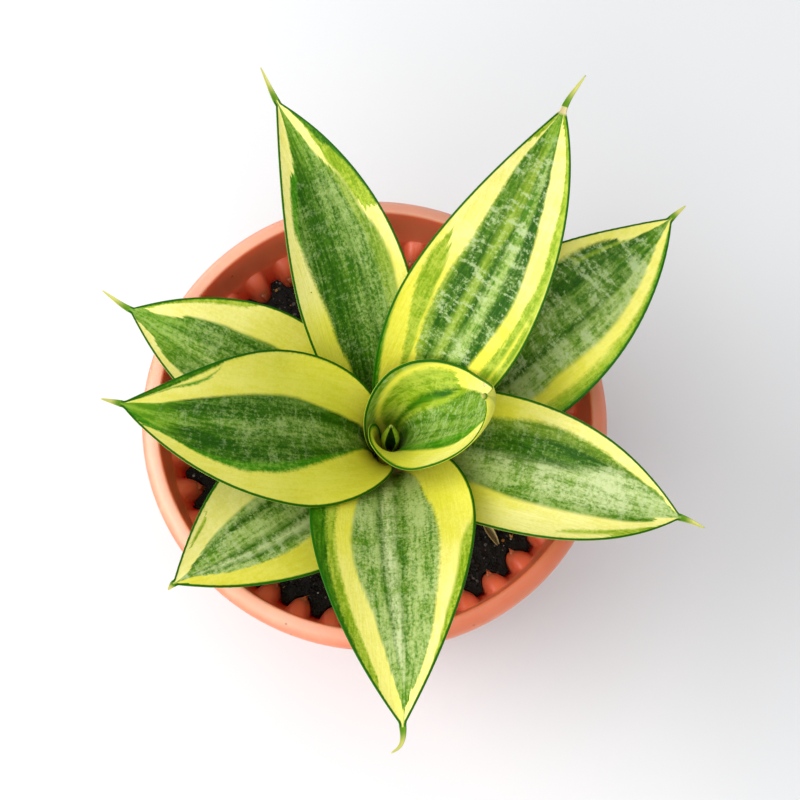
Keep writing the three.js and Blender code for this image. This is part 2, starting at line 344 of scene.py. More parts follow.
leafFamily["leaf_e"] = dict(
    az=-84, turn=3.5, len=122.5, wid=51, r0=74.5, rm=29.5, r1=12, cup0=78, cup1=19, bank=4, tm=0.38,
    ct=0.45, rad=9, z0=94, yaw=12, hook=-70, spine=9, seed=18.2, rim=0.45, pale=(0.3, 0.75),
    fresh=(0.84, 0.95, 0.3), crossing=0.12, bands=[
        "edge", [-78, (40, -80), (50, -82), (55, -86), (62, -88), (70, -90), (80, -93), (90, -96),
            (95, -86), -90],
        "lime", [-64, (35, -67), (45, -70), (70, -72), (80, -70), (87, -72), (92, -90), -100],
        "yellow", [-30, (29, -43), (39, -48), (49, -52), (57, -51), (65, -45), (72, -38), (80, -31),
            (87, -24), (92, -10), (96, 20), 40],
        "grey", [-21, (30, -20), (50, -18), (70, -13), (82, -3), 30],
        "deep", [-14, (30, -14), (50, -12), (70, -7), (82, -3), 30],
        "silver", [2, (40, 2), (60, 4), (80, 14), 30],
        "middle", [18, (40, 17), (60, 18), (80, 18), 30],
        "grey", [36, (12, 41), (27, 43), (37, 51), (48, 56.5), (57, 59), (67, 61), (80, 67), (87, 65),
            (92, 50), (96, 30), 40],
        "cream", [100, (40, 99), (46, 90), (52, 84), (60, 85), (70, 84), (80, 89), (87, 95), (92, 100),
            100],
        "lime"])
leafFamily["leaf_a"] = dict(
    az=112, turn=15.5, len=116, wid=37.5, r0=64, rm=28, r1=12, cup0=70, cup1=24, bank=1, tm=0.44, ct=0.47,
    rad=10.5, z0=93, yaw=-6, spine=11.5, seed=23.9, wave=0.25, pale=(0.3, 0.58), fresh=(0.74, 0.93, 0.55),
    crossing=0.12, soft=0.05, bands=[
        "edge", [-99, (60, -98.5), (70, -96), (77, -93), (82, -86), (87, -72), (93, -75), -80],
        "lime", [-100, (64, -100), (67, -64), (75, -60), (80, -52), (86, -60), (92, -70), -80],
        "cream", [-72, (40, -74), (52, -78), (60, -72), (66, -64), (75, -58), (79, -46), (82, -34),
            (87, -27), (93, -15), 0],
        "olive", [-50, (40, -52), (55, -52), (66, -46), (80, -38), 0],
        "middle", [-26, (50, -24), (80, -18), 0],
        "deep", [-14, (50, -14), (80, -12), 0],
        "middle", [0, (30, 2), (60, 8), (80, 10), 20],
        "deep", [38, (25, 42), (30, 50), (40, 53), (50, 62), (60, 71), (68, 68), (76, 52), (88, 40), 30],
        "green", [38, (25, 42), (30, 50), (40, 53), (50, 62), (60, 72), (66, 80), (72, 78), (78, 70),
            (82, 50), (88, 44), (95, 36), 30],
        "cream"])
leafFamily["leaf_d"] = dict(
    az=-17.5, turn=9.5, len=103, wid=46.5, r0=85.5, rm=2, r1=0, cup0=54, cup1=40, bank=5, tm=0.26,
    taper=3.2, ct=0.63, rad=12, z0=92.5, yaw=-12, spine=8, seed=29.3, pale=(0.36, 0.6),
    fresh=(0.8, 0.95, 0.2), crossing=0.2, soft=0.05, blend=0.11, bands=[
        "lime", [-100, (80, -100), (84, -80), (88, -76), (93, -84), -100],
        "cream", [-95, (66, -90), (70, -84), (80, -86), (84, -90), -100],
        "lime", [-100, (66, -94), (70, -77), (80, -74), (88, -76), (93, -86), -100],
        "cream", [-27, (36, -31.5), (45, -37), (50, -40), (60, -41.5), (70, -43), (80, -45.7), (87, -51),
            (91, -53), (94, -30), (97, 40), 80],
        "middle", [-15, (36, -22), (60, -24), (80, -28), -30],
        "grey", [10, (36, 10), (50, -4), (62, -20), -30],
        "silver", [10, (36, 14), (60, 22), (70, 34), (80, 60), 70],
        "deep", [50, (36, 53.5), (45, 57), (55, 59), (65, 62), (72, 60), (80, 62), 70],
        "olive", [60, (40, 66), (50, 73), (60, 76.5), (70, 75), (76, 72), (85, 70), (90, 75), (93, 80),
            (96, 60), 70],
        "cream"])
leafFamily["leaf_f"] = dict(
    az=227, turn=-5, len=87, wid=47, r0=58.5, rm=26, r1=12, cup0=60, cup1=18, bank=-3, tm=0.42, ct=0.45,
    rad=13.5, z0=92, yaw=21, spine=2.5, seed=34.6, rim=0.5, nicks=0.05, pale=(0.3, 0.5),
    fresh=(0.9, 1.0, 0.2), crossing=0.4, bands=[
        "cream", [-100, (74, -98), (78, -83), (86, -82), (90, -95), -100],
        "lime", [-100, (74, -99), (78, -76), (86, -74), (90, -95), -100],
        "cream", [-40, (55, -42), (75, -42), (82, -40), (88, -30), (93, -10), 20],
        "grey", [-30, (50, -30), (80, -30), 0],
        "deep", [-18, (50, -18), (68, -20), (75, -30), 0],
        "grey", [8, (50, 10), (80, 14), 20],
        "deep", [20, (50, 22), (75, 24), (82, 20), 20],
        "silver", [30, (50, 32), (75, 34), 20],
        "deep", [36, (50, 40), (70, 43), (80, 34), 20],
        "grey", [42, (47, 45), (55, 50), (70, 53), (80, 52), (85, 48), (92, 30), 20],
        # gold here is painted shade: the yellow darker along this side of the blade
        "gold", [100, (66, 98), (75, 95), (85, 93), (92, 88), (96, 70), 60],
        "edge"])
leafFamily["leaf_c"] = dict(
    az=37, turn=16, len=109, wid=50.5, r0=50.5, rm=25, r1=8, cup0=55, cup1=21, tm=0.43, ct=0.45, rad=15,
    z0=91.5, yaw=-7, spine=6, seed=41.5, wave=0.45, rim=0.45, nicks=0.05, pale=(0.35, 0.8),
    fresh=(0.84, 0.97, 0.4), crossing=0.6, soft=0.06, bands=[
        "green", [-93, (40, -93), (60, -96), (75, -95), (85, -88), (93, -80), -70],
        "lime", [-76, (40, -78), (50, -80), (60, -82), (70, -84), (80, -86), -70],
        "yellow", [-58, (40, -60), (46, -55), (55, -58), (65, -62), (75, -60), (85, -53), (92, -37), -15],
        "grey", [-28, (40, -26), (60, -24), (80, -26), 0],
        "deep", [-16, (40, -14), (60, -16), (80, -26), 0],
        "middle", [20, (50, 20), (70, 22), 30],
        "deep", [78, (68, 78), (71, 60), (75, 57), (80, 55), (87, 50), (95, 40), 30],
        "lime", [76, (68, 76), (72, 60), (80, 59), (86, 54), 35],
        "deep", [70, (66, 72), (70, 74), (76, 76), (82, 72), (85, 60), (88, 50), 30],
        "yellow"])
leafFamily["leaf_h"] = dict(
    az=162.5, turn=0.5, len=84.5, wid=45, r0=47, rm=24.5, r1=7, cup0=42, cup1=20, bank=-1, tm=0.41, ct=0.45,
    rad=16.5, z0=91, yaw=-12, spine=10.5, seed=47.8, pale=(0.2, 0.8), fresh=(0.66, 0.9, 0.6), crossing=0.15,
    bands=[
        "edge", [-100, (60, -98), (80, -96), (88, -90), (94, -80), -70],
        "lime", [-100, (56, -100), (62, -88), (80, -86), (90, -82), (95, -60), -40],
        "cream", [-50, (40, -50), (50, -48), (60, -47), (65, -49), (78, -49), (82, -38), (86, -27),
            (90, -32), (94, -60), -80],
        "middle", [-40, (50, -38), (62, -40), -30],
        "deep", [-30, (50, -30), (60, -34), (64, -40), -30],
        "middle", [0, (60, 5), (80, 0), 20],
        "grey", [30, (60, 35), (75, 30), 40],
        "middle", [60, (50, 70), (72, 75), (80, 78), (84, 74), (88, 60), (93, 65), (97, 80), 90],
        "cream"])
leafFamily["leaf_core"] = dict(
    az=95, turn=0, len=18, wid=11, r0=88, rm=88, r1=88, cup0=160, cup1=130, tm=0.68, ct=1, rad=1.6, z0=95.5,
    thick=0.9, spine=1, seed=53.0, wave=0.0, rim=0.15, across=41, pale=(0.2, 0.8), fresh=(0.9, 1.0, 0.3),
    crossing=0.1, glow=0.4, bands=[
        "lime", [-60, -50],
        "green", [50, 60],
        "lime"])


def bladeSurface(p):
    # Midrib: the sum of small steps, each turned up by the rise and round by the heading at that place.
    # Across it: an arc of the given half width and wrap, and a back that lies the thickness below the face.
    across, spineRows, sheathRows = p["across"], p["spineRows"], p["sheathRows"]
    fine = np.linspace(0, 1, p["pathSteps"] + 1)
    midway = (fine[1:] + fine[:-1]) / 2

    def riseAt(t):
        return np.radians((1 - t) ** 2 * p["r0"] + 2 * t * (1 - t) * p["rm"] + t * t * p["r1"])

    def headAt(t):
        return np.radians(p["az"] + p["turn"] * t * t)

    def heading(rise, head):
        return np.stack([np.cos(rise) * np.cos(head), np.cos(rise) * np.sin(head), np.sin(rise)], -1)

    azimuth = math.radians(p["az"])
    foot = np.array([crown["x"] + p["rad"] * math.cos(azimuth),
                     crown["y"] + p["rad"] * math.sin(azimuth), p["z0"]])
    steps = heading(riseAt(midway), headAt(midway)) * p["len"] / p["pathSteps"]
    path = np.vstack([foot, foot + np.cumsum(steps, 0)])
    t = np.linspace(0, 1, p["along"])
    t = 0.75 * t + 0.25 * smooth(t)  # rows a little closer together at both ends
    centre = np.stack([np.interp(t, fine, path[:, k]) for k in range(3)], -1)
    footHalf = p["rad"] * math.radians(p["cup0"])
    tm, hold = p["tm"], p["hold"]
    rising = footHalf + (p["wid"] / 2 - footHalf) * np.sin(np.pi / 2 * np.minimum(t / tm, 1))
    falling = p["wid"] / 2 * (1 - np.maximum((t - tm) / (1 - tm), 0) ** p["taper"])
    half = np.maximum(np.where(t < tm, rising, falling), 0.8)
    nicks = np.sin(t * p["len"] * 2.6 + 2 * np.sin(t * 23)) * np.sin(t * 31 + p["seed"])
    half = half + p["nicks"] * nicks * smooth((t - 0.2) / 0.2) * smooth((1 - t) / 0.1)
    opened = smooth((t - hold) / (p["ct"] - hold))
    cup = math.radians(p["cup1"]) + math.radians(p["cup0"] - p["cup1"]) * (1 - opened)
    rise, head = riseAt(t), headAt(t)
    mids = p["thick"] * (1 - 0.3 * t)
    edge = min(0.75, p["thick"]) * (1 - 0.3 * t)

    # the end spine goes on from the tip, bending aside, and draws to a fine point
    s = np.linspace(0, 1, spineRows + 1)[1:]
    spineHead = np.radians(p["az"] + p["turn"] + p["yaw"] * np.minimum(3 * s + 0.5, 2) / 2
                           + p["hook"] * np.minimum(s + 0.16, 1) ** 2)
    spineRise = np.full(spineRows, math.radians(p["r1"]))
    spinePath = centre[-1] + np.cumsum(heading(spineRise, spineHead) * p["spine"] / spineRows, 0)
    centre = np.vstack([centre, spinePath])
    t = np.concatenate([t, 1 + s])
    half = np.concatenate([half, 0.12 + 0.68 * (1 - s) ** 0.8])
    cup = np.concatenate([cup, np.full(spineRows, math.radians(p["cup1"]))])
    rise = np.concatenate([rise, spineRise])
    head = np.concatenate([head, spineHead])
    mids = np.concatenate([mids, 0.22 + (mids[-1] - 0.4) * (1 - s)])
    edge = np.concatenate([edge, 0.12 + (edge[-1] - 0.12) * (1 - s)])

    # left and normal are the blade's own sideways and upward directions at each row, leaned by the bank
    flatT = np.minimum(t, 1)
    lean = math.radians(p["bank"]) * flatT
    side = np.stack([-np.sin(head), np.cos(head), 0 * head], -1)
    up = np.cross(heading(rise, head), side)
    left = side * np.cos(lean)[:, None] + up * np.sin(lean)[:, None]
    normal = up * np.cos(lean)[:, None] - side * np.sin(lean)[:, None]
    u = np.linspace(-1, 1, across)
    angle = cup[:, None] * u
    base = (half / cup)[:, None]
    radius = base * (1 + p["spiral"] * u * (1 - smooth(flatT / 0.8))[:, None])
    ripple = p["wave"] * (np.sin(7.5 * flatT + p["seed"]) + 0.5 * np.sin(17 * flatT - p["seed"]))
    ripple = ripple * smooth((flatT - 0.45) / 0.2) * smooth((1 - flatT) / 0.15)
    lift = base - radius * np.cos(angle) + ripple[:, None] * u ** 2 * np.sign(u) * smooth(half / 8)[:, None]
    cosines, sines = np.cos(angle)[..., None], np.sin(angle)[..., None]
    left, normal = left[:, None], normal[:, None]
    face = centre[:, None] + left * (radius * np.sin(angle))[..., None] + normal * lift[..., None]
    out = normal * cosines - left * sines
    tangent = left * cosines + normal * sines
    depth = edge[:, None] + (mids - edge)[:, None] * (1 - u ** 2)
    back = face - out * depth[..., None]

    # rounded margins: half an ellipse from face to back, bulging a third of the margin's thickness
    turns = np.radians([45.0, 90.0, 135.0])
    rims = []
    for k, sign in ((-1, 1.0), (0, -1.0)):
        middle = (face[:, k] + back[:, k]) / 2
        high = out[:, k, None] * np.cos(turns)[None, :, None] * (edge / 2)[:, None, None]
        aside = tangent[:, k, None] * np.sin(turns)[None, :, None] * (edge / 3)[:, None, None]
        rims.append(middle[:, None] + (high + sign * aside))
    ring = np.concatenate([face, rims[0], back[:, ::-1], rims[1][:, ::-1]], 1)
    ones, rows = np.ones(3), np.ones(len(t))

    # leafPlace: across, along and side, 1 on the face and 0 on the back; leafFlat: the same in millimetres,
    # with the distance from the margin
    ringU = np.concatenate([u, ones, u[::-1], -ones])
    ringSide = np.concatenate([np.ones(across), [0.8, 0.5, 0.2], np.zeros(across), [0.2, 0.5, 0.8]])
    place = np.stack([rows[:, None] * ringU, t[:, None] * np.ones(len(ringU)), rows[:, None] * ringSide], -1)
    fromRim = half[:, None] * (1 - np.abs(ringU))
    flat = np.stack([half[:, None] * ringU, (t * p["len"])[:, None] * np.ones(len(ringU)), fromRim], -1)

    # the sheath goes straight down from the first ring to the stem's top
    downs = np.linspace(0, 1, sheathRows + 1)[:-1, None]
    sheath = np.repeat(ring[:1], sheathRows, 0)
    sheath[..., 2] = crown["sheathBottom"] * (1 - downs) + ring[0, :, 2] * downs
    return [np.vstack([sheath, ring]), *(np.vstack([np.repeat(values[:1], sheathRows, 0), values])
                                         for values in (place, flat))]


def buildBlade(name, p, material):
    # rings joined by quads, a ladder of quads across the open foot and a fan at the spine's point;
    # a ring is the face, three points round the left margin, the back, and three round the right margin
    points, place, flat = bladeSurface(p)
    rows, columns = points.shape[:2]
    across = columns // 2 - 3
    lastRing = np.arange(columns) + (rows - 1) * columns
    j = np.arange(across - 1)
    mirror = 2 * across + 2 - j
    ladder = np.stack([mirror, mirror - 1, j + 1, j], -1)
    k = np.arange(3)
    startRim = np.stack([2 * across + 3 + k, 2 * across + 2 + k, 0 * k], -1)
    endRim = np.stack([across + 1 + k, across + k, 0 * k + across - 1], -1)
    faces = [gridQuads(rows, columns), fan(lastRing, rows * columns), ladder, startRim, endRim]

    def listed(values):
        values = values.reshape(-1, 3)
        return np.vstack([values, values[lastRing].mean(0)])

    addPiece(name + "_blade", listed(points), faces, material, name,
             {"leafPlace": listed(place), "leafFlat": listed(flat)})


def leafFinish(name, p):
    # Stripes run along the blade: each has its own limits across it, drawn as lines from foot to tip.
    # Every stripe is a mix of three tones by lengthwise threads, cross waves and fine silver flecks.
    m = Finish(name + "_finish", Specular_IOR_Level=0.1, Subsurface_Weight=p["glow"],
               Subsurface_Scale=0.0015, Subsurface_Radius=(1.0, 1.0, 0.3))
    u, t, side = m.split(m.attribute("leafPlace"))
    x, y, fromRim = m.split(m.attribute("leafFlat"))
    seed = p["seed"]
    streaks = m.noise(m.vector(u * 8, t * 1.6, seed), 3.0, 0.65)
    threads = m.noise(m.vector(x * 1.0, y * 0.11, seed + 9))
    cloud = m.noise(m.vector(x * 0.12, y * 0.08, seed + 20), 2.0, 0.5)
    flecks = m.noise(m.vector(x * 1.1, y * 0.9, seed + 30), 3.0, 0.75)
    waves = m.noise(m.vector(x * 0.13, y * 0.36 + cloud * p["swirl"], seed + 40))
    scratches = m.noise(m.vector(x * 0.22, y * 0.9 + cloud * p["swirl"], seed + 50))
    lines, crossing = p["lines"], p["crossing"]
    marks = m.step(scratches * lines + waves * (0.62 - lines) + flecks * 0.38, 0.51, 0.6)
    marks = marks * min(0.75, 1.1 * crossing)
    ragged = t + (threads - 0.5) * p["ragged"] + (streaks - 0.5) * 0.05
    shifted = u + (flecks - 0.5) * 0.06 + (streaks - 0.5) * 0.04
    dark = m.step(streaks * 0.35 + threads * 0.4 + flecks * 0.25, 0.4, 0.6)
    pale = streaks * 0.2 + threads * 0.2 + flecks * 0.45 + cloud * 0.3 + waves * crossing
    pale = pale * (1 / (1.15 + crossing))
    # painted shade near the crown: the yellows deeper towards the foot and paler further out
    foot = 1 - m.step(t + (cloud - 0.5) * 0.25, *p["pale"])
    tip = m.step(t + (threads - 0.5) * 0.12, *p["fresh"][:2]) * p["fresh"][2]
    centre = ("deep", "middle", "grey", "silver", "olive")  # only these carry pale marks and a fresh tip

    def tone(key):
        *tints, share = leafTones[key]
        deep, mid, light = [tint(*numbers) for numbers in tints]
        shift = (0.5 - share) * 0.28
        made = m.mix(m.step(pale, 0.41 + shift, 0.59 + shift), m.mix(dark, deep, mid), light)
        if key in centre:
            made = m.mix(marks, made, leafTouches["mark"])
            made = m.mix(tip, made, m.mix(dark, *leafTouches["fresh"]))
        return made

    bands = p["bands"]
    yellow, cream = tone("yellow"), tone("cream")
    tones = {key: tone(key) for key in sorted({*bands[::2]} - {"yellow", "cream"})}
    tones["yellow"] = m.mix(foot, m.mix(0.6, yellow, cream), yellow)
    tones["cream"] = m.mix(foot, cream, yellow)
    colour = tones[bands[0]]
    for before, stops, key in zip(bands[:-2:2], bands[1::2], bands[2::2]):
        blur = p["blend"] if before in centre and key in centre else p["soft"]
        colour = m.mix(m.step(shifted - m.along(ragged, stops), -blur, blur), colour, tones[key])

    # the paler back, the dark margin line, the spine, and a few tiny dark specks
    # the back's tone is partly painted light: on the rolled leaf a bright yellow stands in for light through
    # its thin tip
    backTone, backShare = p["back"]
    colour = m.mix((1 - m.step(side, 0.05, 0.6)) * backShare, colour, backTone)
    rimLine = 1 - m.step(fromRim + (flecks - 0.5) * 0.3, p["rim"] * 0.7, p["rim"] * 1.6)
    colour = m.mix(rimLine * m.step(side, 0.25, 0.5), colour, leafTouches["margin"])
    spots = m.cells(m.vector(x * 0.075, y * 0.075, seed))
    colour = m.mix((1 - m.step(spots, 0.014, 0.024)) * 0.8, colour, leafTouches["speck"])
    if p["scar"]:
        # a dry pale patch with a brown edge where the tip was nicked
        away = abs(u - p["scar"][0]) * 24 + abs(t - p["scar"][1]) * 55 + (flecks - 0.5) * 4
        scarTone, scarEdge = leafTouches["scar"]
        colour = m.mix(1 - m.step(away, 0.9, 1.3), colour, scarEdge)
        colour = m.mix(1 - m.step(away, 0.6, 0.9), colour, scarTone)
    spineTone = m.mix(m.step(t, 1.1, 1.6), *leafTouches["spine"])
    colour = m.mix(m.step(t, 0.985, 1.03), colour, spineTone)
    if p["dryRing"]:
        colour = m.mix(1 - m.step(abs(t - 0.992), 0.006, 0.016), colour, leafTouches["ring"])
    grooves = m.bump(threads + flecks * 0.5 + waves * 0.4, 0.0003, 0.5)
    return m.surface(colour, 0.46 + (pale - 0.5) * 0.5, grooves)


for leafName, ownSettings in leafFamily.items():
    leafSettings = {**leafCommon, **ownSettings}
    buildBlade(leafName, leafSettings, leafFinish(leafName, leafSettings))

# Pot

potShape = {
    # (radius, height) up the taper, into the hollow under the collar, out over the lip and down inside
    "outside": [(50, 0), (66.7, 93), (68.6, 99.5), (70.6, 110), (72.9, 109), (70.3, 93.5), (71.9, 93.5),
                (74.5, 107), (75, 109.8), (74.6, 112), (72.8, 114.3), (70.4, 115), (69.4, 114.7),
                (69.1, 113.2), (66.9, 99.5)],
    "wall": [(49.6, 6), (64.5, 91), (66.8, 98.8), (69.2, 113.4)],
    "round": 0.9, "columns": 864, "floor": 6.0, "floorEdge": 48.1,
    "ribs": 36, "phase": 4.0, "ribHalf": 3.9, "ribDepth": 4.4, "ribTop": 98.7, "ribFull": 93.4,
    "ribFoot": 70, "domeRows": 24, "ribRows": [92.4, 91.2, 89, 86, 81, 77, 74, 70],
    "drains": 6, "drainTurn": 10.0, "drainRadius": 4.0, "drainRing": 30.0,
    "outerRings": [43.0, 37.5], "innerRings": [22.5, 11.0, 3.0],
}

potTones = {  # clay outside; inside low and high on the wall, painted shade low and painted light high; the lip's painted highlight; and the rest one tone each
    "clay": (tint(224, 122, 84), tint(234, 136, 98)), "inside": (tint(220, 98, 64), tint(255, 126, 88)),
    "paintedLipHighlight": tint(248, 188, 164), "bloom": tint(240, 164, 132), "speck": tint(130, 60, 40),
}


def roundedLine(points, cut, steps=4):
    # each corner becomes a short curve: a blend of its two cut points through the corner
    points = np.array(points, float)
    parts = [points[:1]]
    for before, at, after in zip(points[:-2], points[1:-1], points[2:]):
        toBefore, toAfter = before - at, after - at
        a = at + toBefore * min(0.45, cut / np.linalg.norm(toBefore))
        b = at + toAfter * min(0.45, cut / np.linalg.norm(toAfter))
        s = np.linspace(0, 1, steps)[:, None]
        parts.append(a * (1 - s) ** 2 + at * 2 * s * (1 - s) + b * s ** 2)
    return np.vstack([*parts, points[-1:]])


def ribFront(angle, z, p, gap=0.0):
    # Inner wall's radius where a rib stands: the wall less a half barrel with a ball-like top.
    # Across the rib the depth follows a half circle, and above its full height a quarter circle; a small
    # square root at the end eases the rib into the wall.
    radii, heights = zip(*p["wall"])
    wall = np.interp(z, heights, radii)
    pitch = 2 * math.pi / p["ribs"]
    turn = (angle - math.radians(p["phase"]) + pitch / 2) % pitch - pitch / 2
    top = np.clip((z - p["ribFull"]) / (p["ribTop"] + gap - p["ribFull"]), 0, 1)
    full = np.sqrt(1 - top ** 2) * smooth((z - p["ribFoot"]) / 8)
    halfWidth = (p["ribHalf"] + gap) * (0.35 + 0.65 * full)
    sideways = np.clip(np.abs(turn) * wall / halfWidth, 0, 1)
    reach = (p["ribDepth"] + 1.5 + gap) * full * np.sqrt(1 - sideways ** 2) - 0.6
    return wall - gap - (reach + np.sqrt(reach ** 2 + 0.1)) / 2


def makePot(p, material):
    # A turned outline: up the outside, over the lip, down the ribbed inside, in along the floor to its
    # centre and back out along the flat foot. The rings round the drain holes bulge to follow the holes.
    n = p["columns"]
    angle = np.arange(n) * 2 * math.pi / n
    outline = roundedLine([*p["outside"], p["wall"][2]], p["round"])[:-1]
    dome = p["ribFull"] + (p["ribTop"] - p["ribFull"]) * np.sin(np.linspace(np.pi / 2, 0, p["domeRows"]))
    heights = np.concatenate([dome, p["ribRows"]])
    apart = 2 * math.pi / p["drains"]
    local = (angle - math.radians(p["drainTurn"]) + apart / 2) % apart - apart / 2
    reach = np.abs(np.sin(local)) * p["drainRing"] / p["drainRadius"]
    bulge = p["drainRadius"] * np.sqrt(1 - np.minimum(reach, 1) ** 2)
    middle = np.where(reach < 1, np.cos(local), 1) * p["drainRing"]
    outerRings, innerRings = [[np.full(n, ring) for ring in p[key]] for key in ("outerRings", "innerRings")]
    floorRings = [*outerRings, middle + bulge, middle - bulge, *innerRings]
    radius = np.vstack([np.repeat(outline[:, :1], n, 1), ribFront(angle[None], heights[:, None], p),
                        np.full((1, n), p["floorEdge"]), floorRings, floorRings[::-1]])
    count = len(floorRings)
    z = np.concatenate([outline[:, 1], heights, np.full(count + 1, p["floor"]), np.zeros(count)])
    rows = len(z)
    points = np.stack([radius * np.cos(angle), radius * np.sin(angle), z[:, None] + 0 * radius], -1)
    numbers = np.arange(rows * n).reshape(rows, n)
    # top and low are the rows just outside the holes; between the holes the next row in joins them
    top, low = rows - 2 * count + 2, rows - 3
    numbers[top + 1] = np.where(bulge > 0, numbers[top + 1], numbers[top])
    numbers[low - 1] = np.where(bulge > 0, numbers[low - 1], numbers[low])
    hole = (bulge > 0) | (np.roll(bulge, -1) > 0)
    # a band joins each row to the next, except over the holes and at the floor's centre
    faces = []
    for k in range(rows - 1):
        if k not in (top, low - 1, rows - count - 1):
            faces.append(bandQuads(numbers[k], numbers[k + 1]))
    faces.append(bandQuads(numbers[-1], numbers[0]))
    faces.append(bandQuads(numbers[top], numbers[low])[hole])
    faces.append(bandQuads(numbers[low - 1], numbers[top + 1])[hole])
    faces.append(fan(numbers[rows - count - 1], rows * n))
    faces.append(fan(numbers[rows - count], rows * n + 1, True))
    everything = [points.reshape(-1, 3), np.array([[0, 0, p["floor"]], [0, 0, 0.0]])]

    # teeth: a thin bent flake on the soil side of each rib, its root inside the rib
    turn = np.arange(p["ribs"]) * 2 * math.pi / p["ribs"] + math.radians(p["phase"])
    outer = np.array([[61.6, -1.5, 95.0], [61.6, 1.5, 95.0], [61.6, 0.5, 91.6], [59.2, 0.2, 94.4],
                      [59.4, 1.2, 92.4], [58.2, 1.0, 92.9]])
    teeth = spun(outer, turn[:, None]).reshape(-1, 3)
    corner = np.array([[0, 1, 3], [1, 5, 3], [1, 4, 5], [1, 2, 4], [2, 0, 3], [2, 3, 4], [3, 5, 4],
                       [0, 2, 1]])
    faces.append((corner + rows * n + 2 + 6 * np.arange(p["ribs"])[:, None, None]).reshape(-1, 3)[:, ::-1])
    addPiece("pot_shell", np.vstack([*everything, teeth]), faces, material, "pot")


def potFinish():
    # Moulded clay-coloured plastic: two clay tones mixed by slow noise; inside, painted redder for the light
    # that bounces in the pot, with painted shade low on the ribs and painted light high on the wall; a
    # painted highlight, paler, along the top of the lip towards the key lamp; a dry bloom where the rubbed
    # noise is high, rare dark specks, a fine grain, and a little light that wanders through the thin wall.
    m = Finish("pot_finish", Specular_IOR_Level=0.6, Subsurface_Weight=0.6, Subsurface_Scale=0.005,
               Subsurface_Radius=(1.0, 0.28, 0.12))
    x, y, z = m.place(1 / millimetre)
    slow = m.noise(m.vector(x, y, z, 0.038))
    grain = m.noise(m.vector(x, y, z, 0.9), 3.0, 0.7)
    rubbed = m.noise(m.vector(x, y, z, 0.13), 4.0, 0.7)
    colour = m.mix(m.step(slow, 0.35, 0.68), *potTones["clay"])
    across = m.node("ShaderNodeMath", {"operation": "SQRT"}, (x * x + y * y,))
    # painted light inside the pot: redder for the light bounced there, darker low on the ribs as painted
    # shade, brighter high on the wall
    inside = 1 - m.step(across, 69.1, 70.0)
    colour = m.mix(inside, colour, m.mix(m.step(z, 96.0, 100.0), *potTones["inside"]))
    # painted highlight: the top of the lip paler on the side towards the key lamp
    towardsKey = m.step(y * 0.6 - x * 0.8, -72, -15)
    paintedLipHighlight = m.step(z + (rubbed - 0.5) * 2, 111.5, 114.2) * (1 - inside) * towardsKey * 0.6
    colour = m.mix(paintedLipHighlight, colour, potTones["paintedLipHighlight"])
    colour = m.mix(m.step(rubbed, 0.58, 0.8) * 0.3, colour, potTones["bloom"])
    spots = 1 - m.step(m.cells(m.vector(x, y, z, 0.14)), 0.05, 0.09)
    colour = m.mix(spots * m.step(slow, 0.5, 0.56) * 0.6, colour, potTones["speck"])
    return m.surface(colour, 0.42 + (rubbed - 0.5) * 0.2, m.bump(grain + rubbed * 0.6, 0.00012, 0.5))


makePot(potShape, potFinish())

# Soil

soilSettings = {
    "top": 91.0, "dip": 19.0, "edge": 63.4, "spread": 64.0, "gap": 0.3, "rings": 90, "columns": 540,
    "seed": 11, "grains": 6500, "smallest": 0.28, "largest": 0.95, "stemRadius": 19.35, "lowRadius": 48.4,
    "low": 6.4, "holeBottom": 69.65, "sideRows": (91.0, 86.0, 78.0, 70.0),
    "mix": (tint(8, 7, 7), tint(24, 20, 18)), "crumb": tint(38, 33, 30), "fibre": tint(52, 47, 44),
    "kinds": [(0.84, tint(86, 82, 80)), (0.96, tint(176, 172, 168)), (0.987, tint(186, 140, 66))],
}


def soilHeight(x, y, p):
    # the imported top's own waves, with a dip at the stem, plus small crumbs
    d = np.hypot(x - crown["x"], y - crown["y"]) - p["dip"]
    lumps = 0.45 * np.sin(x / 6.1 + 1.3) * np.cos(y / 5.3 + 0.4) + 0.3 * np.sin(x / 3.7 - y / 4.3 + 2)
    inside = 1 - smooth((np.hypot(x, y) - 50) / 8)
    crumbs = 0.22 * np.sin(x * 2.1 + 2 * np.sin(y * 1.3)) * np.cos(y * 1.9 + 1.5 * np.sin(x * 0.9))
    return p["top"] + lumps * inside * smooth(d / 8) - 1.2 * (1 - smooth(d / 7)) + crumbs


def soilFinish(name, p, perGrain):
    # near black mix: damp dark crumbs, some brown fibre, and grains of grey, white and gold, each kind from
    # its own place in the grains' draw upwards
    m = Finish(name, Specular_IOR_Level=0.3)
    x, y, z = m.place(1 / millimetre)
    fine = m.noise(m.vector(x, y, z, 1.4), 3.0, 0.7)
    coarse = m.noise(m.vector(x, y, z, 0.33), 3.0, 0.65)
    colour = m.mix(m.step(coarse, 0.4, 0.7), *p["mix"])
    if perGrain:
        kind, shade, _ = m.split(m.attribute("grainKind"))
        colour = m.mix(m.step(shade, 0.2, 1.0) * 0.6, colour, p["crumb"])
        for lowest, kindTone in p["kinds"]:
            colour = m.mix(m.step(kind, lowest, lowest + 0.001), colour, kindTone)
    colour = m.mix(m.step(fine, 0.55, 0.8) * 0.3, colour, p["fibre"])
    return m.surface(colour, 0.62 + (coarse - 0.5) * 0.4, m.bump(fine + coarse, 0.0005, 0.8))


